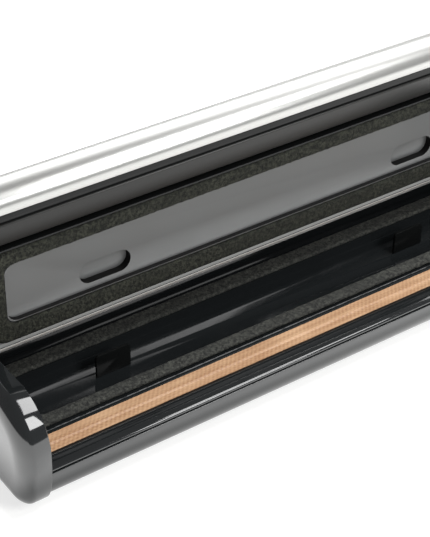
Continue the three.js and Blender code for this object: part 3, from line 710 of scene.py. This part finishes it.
# %% Sealing tape
TAPE_X, TAPE_FRONT, TAPE_BACK, TAPE_Z, WIRE_Y = 161.0, -51.9, -40.5, 25.55, -45.9
bpy.ops.object.select_all(action="DESELECT")
bpy.ops.mesh.primitive_plane_add(size=MM, location=(0, (TAPE_FRONT + TAPE_BACK) / 2 * MM,
                                                    TAPE_Z * MM))
tape = bpy.context.object
tape.scale = (2 * TAPE_X, TAPE_BACK - TAPE_FRONT, 1)
settle(tape, "cloth_tape")
edit(tape)
choose(tape, "EDGE", lambda c, way: abs(way.y) > 0.9)
bpy.ops.mesh.subdivide(number_cuts=61)
choose(tape, "EDGE", lambda c, way: abs(way.x) > 0.9)
bpy.ops.mesh.subdivide(number_cuts=160)
for half_width, rise in ((1.75, 0.14), (1.35, 0.2), (0.95, 0.16)):
    choose(tape, "VERT", lambda c, n: abs(c.y - WIRE_Y) < half_width)
    bpy.ops.transform.translate(value=(0, 0, rise * MM))
leave()
slow_wave = bpy.data.textures.new("tape_wave", "CLOUDS")
slow_wave.noise_scale = 0.022
apply_modifier(tape, "DISPLACE", texture=slow_wave, strength=0.28 * MM, mid_level=0.5,
               texture_coords="LOCAL", direction="Z")
apply_modifier(tape, "SOLIDIFY", thickness=0.22 * MM, offset=-1)
bpy.ops.object.shade_smooth_by_angle(angle=math.radians(40))
hand_over(paint(tape, TAPE), "base", "sealing_tape", "sealing_tape")

# %% [markdown]
# ## Bag stops
# Two thin blades stand in the trough and keep the bag from sliding too far in.

# %% Bag stops
for name, side in (("left", -1), ("right", 1)):
    low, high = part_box(f"bag_stop_{name}")
    low, high = low / MM, high / MM
    blade = block(f"stop_blade_{name}", low.x, high.x, low.y, high.y, low.z, high.z)
    edit(blade)
    choose(blade, "EDGE", lambda c, way: abs(way.y) > 0.9 and c.z > high.z - 0.1)
    bpy.ops.mesh.bevel(offset=2.2 * MM, segments=6, affect="EDGES")
    leave()
    soften(blade, 0.3, 2)
    hand_over(paint(blade, LINER_WALL), "base", "liner_black", f"bag_stop_{name}")

# %% [markdown]
# ## Lid
# The lid is modelled shut, where its outline is easy to draw, and then swung open about the hinge.
# Its cover is a silver shell with a round nose, a flat top and a round back edge that hides the
# hinge. Its mouth is cut for the liner, close behind the turn of the nose.

# %% Lid cover
LID_HALF, LID_WALL, LID_PLANE, LID_OPEN = 164.4, 2.0, 28.0, math.radians(88)


def swing_open(piece):
    """Turns a piece modelled on the shut lid to the open lid, in its mesh."""
    edit(piece)
    bpy.ops.mesh.select_all(action="SELECT")
    bpy.ops.transform.rotate(value=LID_OPEN, orient_axis="X", orient_type="GLOBAL",
                             center_override=(0, HINGE_Y * MM, HINGE_Z * MM))
    leave()
    return piece


barrel_drop = math.degrees(math.asin(-math.sqrt(7 ** 2 - 0.5 ** 2) / 7))
lid_outline = (
    [(-56, LID_PLANE), (21, LID_PLANE)] + arc(HINGE_Y, HINGE_Z, 7, barrel_drop, 90, 22)
    + arc(-41.8, 38.5, 21.5, 90, 180, 26)
    + bezier((-63.3, 38.5), (-63.3, 32), (-60.8, LID_PLANE), (-56, LID_PLANE), 14)[:-1]
)
cover = section("lid_shell", lid_outline, -LID_HALF, LID_HALF)
cover_hollow = section("cover_hollow", [(12, 36), (12, 60 - LID_WALL)]
                       + arc(-41.8, 38.5, 21.5 - LID_WALL, 90, 180, 16) + [(-58, 36)],
                       LID_WALL - LID_HALF, LID_HALF - LID_WALL)
carve(cover, block("mouth", -162.2, 162.2, -54.1, 18.9, 20, 37), cover_hollow)
soften(cover, 0.3, 3)
paint(cover, SILVER, LINER_RIM_PAINTED_LIGHT, GLOSS_BLACK)
# The cover's downward faces behind the hinge get the rim's painted light grey; the rest there is
# gloss black.
for face in cover.data.polygons:
    if face.center.y / MM > 18 and face.center.z / MM < HINGE_Z - 6:
        face.material_index = 1 if face.normal.z < -0.9 else 2
swing_open(cover)
hand_over(cover, "lid", "silver", "lid_cover")

# %% [markdown]
# The liner closes the mouth of the cover: a black frame with a shallow recess, two oval pockets,
# the gasket's groove and a slot for the pressing strip. The front lip keeps the plain gloss black.
# The wide flat faces are painted mid-grey, a painted reflection of a bright room, the rear rim is
# painted lighter still as painted light, and the nooks are hazy and painted nearly black as
# painted shade. Two bisecting cuts part the lip and the rim from the rest.

# %% Lid liner
RECESS = {"x": 151, "front": -26.4, "back": 5.7, "radius": 6}
POCKET_X, POCKET_Y, POCKET_LONG, POCKET_WIDE = 96.6, -3.7, 28.5, 12.2
RECESS_DEEP, POCKET_DEEP, LIP_END, RIM_START = 2.5, 4.0, -34.4, 16.5
liner = block("lid_lining", -161.9, 161.9, -53.9, 18.6, LID_PLANE, 36.8)
pockets = [pad("pocket", s * POCKET_X - POCKET_LONG / 2, s * POCKET_X + POCKET_LONG / 2,
               POCKET_Y - POCKET_WIDE / 2, POCKET_Y + POCKET_WIDE / 2, 20,
               LID_PLANE + RECESS_DEEP + POCKET_DEEP, POCKET_WIDE * 0.49, 12) for s in (-1, 1)]
carve(liner, ring_block("recess", RECESS, 20, LID_PLANE + RECESS_DEEP), *pockets,
      ring("groove", 20, LID_PLANE + 1.3, 0.3),
      block("strip_slot", -160.4, 160.4, -49.8, -37.6, 20, 29.6),
      block("gutter", -160.4, 160.4, -38.2, -34.7, 20, 34))
soften(liner, 0.35, 3)
edit(liner)
for split in (LIP_END, RIM_START):
    bpy.ops.mesh.select_all(action="SELECT")
    bpy.ops.mesh.bisect(plane_co=(0, split * MM, 0), plane_no=(0, 1, 0))
leave()
paint(liner, LINER_WALL, LINER_FACE_PAINTED_REFLECTION, LINER_RIM_PAINTED_LIGHT, LINER_NOOK_PAINTED_SHADE)
# Flat faces behind the lip get the painted reflection grey and the rim the lighter painted light;
# walls behind the lip get the near-black painted shade.
for face in liner.data.polygons:
    y, flat = face.center.y / MM, face.normal.z < -0.999
    if y > LIP_END:
        face.material_index = (2 if y > RIM_START else 1) if flat else 3
swing_open(liner)
hand_over(liner, "lid", "liner_black", "lid_liner")

upper_foam = foam_loop("foam_gasket_upper", 26.6, 28.9)
swing_open(upper_foam)
hand_over(paint(upper_foam, LID_FOAM_PAINTED_SHADE), "lid", "foam", "upper_gasket")

# %% [markdown]
# The pressing strip squeezes the bag on to the tape. It is a moulded silicone bar whose face falls
# away towards the gasket.

# %% Pressing strip
STRIP_FRONT, STRIP_BACK, STRIP_LOW, STRIP_TURN = -49.7, -37.9, 26.7, 21
fall_radius = (STRIP_BACK - STRIP_FRONT) / math.sin(math.radians(STRIP_TURN))
strip = section("press_bar", [(STRIP_BACK, 29.4), (STRIP_FRONT, 29.4)]
                + arc(STRIP_FRONT, STRIP_LOW + fall_radius, fall_radius, 270, 270 + STRIP_TURN,
                      16), -160, 160)
edit(strip)
choose(strip, "EDGE", lambda c, way: abs(way.x) > 0.9 and c.y < STRIP_FRONT + 0.1
       and c.z < STRIP_LOW + 0.1)
bpy.ops.mesh.bevel(offset=0.7 * MM, segments=5, affect="EDGES")
leave()
soften(strip, 0.2, 2)
swing_open(strip)
hand_over(paint(strip, SILICONE), "lid", "pressing_rubber", "pressing_strip")

# %% [markdown]
# ## Controls
# A textured strip on the right cap holds two long keys and two small lenses. Each end face has an
# oval release button. Buttons are dished a little, because a fingertip should find their middle.

# %% Control strip and keys
strip_plate = pad("control_strip", *PANEL["x"], *PANEL["y"], PANEL["z"], PANEL["z"] + 0.7, 1.2, 6)
carve(strip_plate, *key_wells(50), *lens_holes(1.8, 50))
soften(strip_plate, 0.15, 2)
hand_over(paint(strip_plate, DARK_ABS), "base", "dark_plastic", "control_panel")


def dish(piece, test, thickness, depth):
    """Sinks the middle of one face by two insets."""
    edit(piece)
    choose(piece, "FACE", test)
    bpy.ops.mesh.inset(thickness=thickness * MM, depth=0)
    bpy.ops.mesh.inset(thickness=thickness * 0.6 * MM, depth=-depth * MM)
    leave()
    return piece


for name, y in KEY_Y.items():
    key = pad(f"key_{name}", 168.8, 174, y - 6.5, y + 6.5, 55, 60.9, 2.5)
    dish(key, lambda c, n: n.z > 0.9, 0.5, 0.15)
    soften(key, 0.25, 3)
    hand_over(paint(key, KEY_ABS), f"{name}_key", "key_grey", f"{name}_key")

for name, side in (("left", -1), ("right", 1)):
    button = lying_pad(f"release_{name}", side, 176, BUTTON["face"], BUTTON["y"], *BUTTON["z"],
                       BUTTON["radius"] * 0.98, 10)
    dish(button, lambda c, n: side * n.x > 0.9, 1.2, 0.35)
    soften(button, 0.4, 3)
    hand_over(paint(button, KEY_ABS), f"release_{name}", "key_grey", f"release_button_{name}")

for name, finish in (("green", GREEN_LENS), ("red", RED_LENS)):
    lens = rod(f"lens_cap_{name}", 1.5, "z", 52, 60.1, LENS_X, LENS_Y[name], 24)
    soften(lens, 0.45, 4)
    hand_over(paint(lens, finish), "base", f"lens_{name}", f"lens_{name}")

# %% [markdown]
# ## Underside and back
# Four rubber feet with a chamfered tread, four cross-head screws, and the mains inlet at the back.
# Each foot and screw is modelled once for its place from the same steps.

# %% Feet, screws and mains inlet
def middle_of(node):
    """The x and y of the middle of a CAD node, in mm."""
    low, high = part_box(node)
    return (low.x + high.x) / 2 / MM, (low.y + high.y) / 2 / MM


for k in range(1, 5):
    x, y = middle_of(f"foot_{k}")
    tread = rod(f"rubber_foot_{k}", 7, "z", 0, 3.2, x, y, 40)
    edit(tread)
    choose(tread, "FACE", lambda c, n: n.z < -0.9)
    bpy.ops.mesh.inset(thickness=1.6 * MM, depth=0)
    bpy.ops.mesh.inset(thickness=0.5 * MM, depth=-0.4 * MM)
    leave()
    soften(tread, 0.5, 3)
    hand_over(paint(tread, RUBBER), "base", "foot_rubber", f"foot_{k}")

    x, y = middle_of(f"base_screw_{k}")
    head = rod(f"pan_screw_{k}", 3.4, "z", 1.2, 3.2, x, y, 32)
    carve(head, block("slot", x - 2.1, x + 2.1, y - 0.45, y + 0.45, 1, 2.1),
          block("slot", x - 0.45, x + 0.45, y - 2.1, y + 2.1, 1, 2.1))
    soften(head, 0.3, 2)
    hand_over(paint(head, STEEL), "base", "steel", f"base_screw_{k}")

inlet = pad("mains_inlet", -147, -121, 46, 66, 7, 22.4, 0.8, 3)
carve(inlet, block("mouth", -142.5, -125.5, 50, 70, 11.2, 18.8))
pins = [rod("pin", 1.1, "y", 49, 61, -134 + s * 4.3, 15, 16) for s in (-1, 1)]
soften(inlet, 0.3, 2)
carve(inlet, *pins, how="UNION")
hand_over(paint(inlet, DARK_ABS), "base", "dark_plastic", "power_inlet")

# %% [markdown]
# ## Inner works
# The pump, the transformer, the valve and the rest stay as the CAD has them. They get real
# finishes on their own material slots.

# %% Finishes on the remaining nodes
INNER = {
    BAR_DARK_BROWN: ("seal_bar",),
    STEEL: ("heating_wire", "pump_motor", "motor_bracket", "pump_crank", "vent_plunger",
            "lid_hook_left", "lid_hook_right", "hinge_pin_left", "hinge_pin_right"),
    BRASS: ("vent_valve", "hinge_bush_left", "hinge_bush_right"),
    DARK_ABS: ("suction_nozzle", "pump_head", "transformer", "lid_switch", "latch_slider_left",
               "latch_slider_right"),
    BOARD: ("control_board",),
    HOSE: ("vacuum_hose",),
}
for finish, names in INNER.items():
    for name in names:
        for material_slot in nodes[name].material_slots:
            material_slot.material = finish
print("inner nodes", sum(len(names) for names in INNER.values()))

# %% [markdown]
# ## Floor and light
# The machine stands on a pale table lit from below, as for catalogue pictures, so that black gloss
# sides mirror a bright floor. The glow is weaker within a few centimetres of the machine, where
# its own shadow would fall, and dies away far off. A soft box above and one in front, both to the
# right, draw the bright patches on the rims. A third behind brightens the top of the silver lid.

# %% Floor and lights
TABLE_SHADE, TABLE_GLOW = 0.72, 2.5
TABLE_RISE, TABLE_BRIGHT_TO, TABLE_DARK_FROM = 0.024, 0.45, 0.9
TABLE_FOOTPRINT = (0.181, 0.066, 0)
WORLD_LIGHT = 0.3
bpy.ops.object.select_all(action="DESELECT")
bpy.ops.mesh.primitive_plane_add(size=8, location=(0, 0, 0))
floor = bpy.context.object
floor.name = "light_table"
table, tree, shader, place = new_finish("frosted_table_top", Base_Color=linear("#a2a2a0"),
                                        Roughness=0.9, Emission_Color=linear("#ffffff"))
beside = add_node(tree, "ShaderNodeVectorMath", {0: place}, operation="ABSOLUTE")
outside = add_node(tree, "ShaderNodeVectorMath", {0: beside.outputs[0], 1: TABLE_FOOTPRINT},
                   operation="SUBTRACT")
clear = add_node(tree, "ShaderNodeVectorMath", {0: outside.outputs[0], 1: (0, 0, 0)},
                 operation="MAXIMUM")
gap = add_node(tree, "ShaderNodeVectorMath", {0: clear.outputs[0]}, operation="LENGTH")
near = add_node(tree, "ShaderNodeMapRange", {
    "Value": gap.outputs["Value"], "From Min": 0.0, "From Max": TABLE_RISE,
    "To Min": TABLE_SHADE, "To Max": TABLE_GLOW}, interpolation_type="SMOOTHSTEP")
far = add_node(tree, "ShaderNodeMapRange", {
    "Value": gap.outputs["Value"], "From Min": TABLE_BRIGHT_TO, "From Max": TABLE_DARK_FROM,
    "To Min": 1.0, "To Max": 0.05}, interpolation_type="SMOOTHSTEP")
glow = add_node(tree, "ShaderNodeMath", {0: near.outputs["Result"], 1: far.outputs["Result"]},
                operation="MULTIPLY")
tree.links.new(glow.outputs["Value"], shader.inputs["Emission Strength"])
paint(floor, table)

world = bpy.data.worlds.new("studio")
bpy.context.scene.world = world
world.use_nodes = True
world.node_tree.nodes["Background"].inputs["Color"].default_value = (1, 1, 1, 1)
world.node_tree.nodes["Background"].inputs["Strength"].default_value = WORLD_LIGHT
bpy.context.scene.view_settings.view_transform = "Standard"


def soft_box(name, place, target, width, height, radiance):
    """A rectangular light whose face has the given brightness."""
    data = bpy.data.lights.new(name, "AREA")
    data.shape, data.size, data.size_y = "RECTANGLE", width, height
    data.energy = radiance * math.pi * width * height
    light = bpy.data.objects.new(name, data)
    light.location = place
    light.rotation_euler = (Vector(target) - Vector(place)).to_track_quat("-Z", "Y").to_euler()
    bpy.context.scene.collection.objects.link(light)
    return light


soft_box("box_overhead", (0.7, -0.3, 1.5), (0.7, -0.3, 0), 1.0, 1.0, 12)
soft_box("box_front", (0.43, -1.25, 1.2), (0.43, 0, 1.2), 0.7, 1.0, 15)
soft_box("box_back", (0.95, 1.5, 1.1), (0.0, 0.05, 0.1), 2.3, 1.2, 4.8)
print("lights", len(bpy.data.lights))
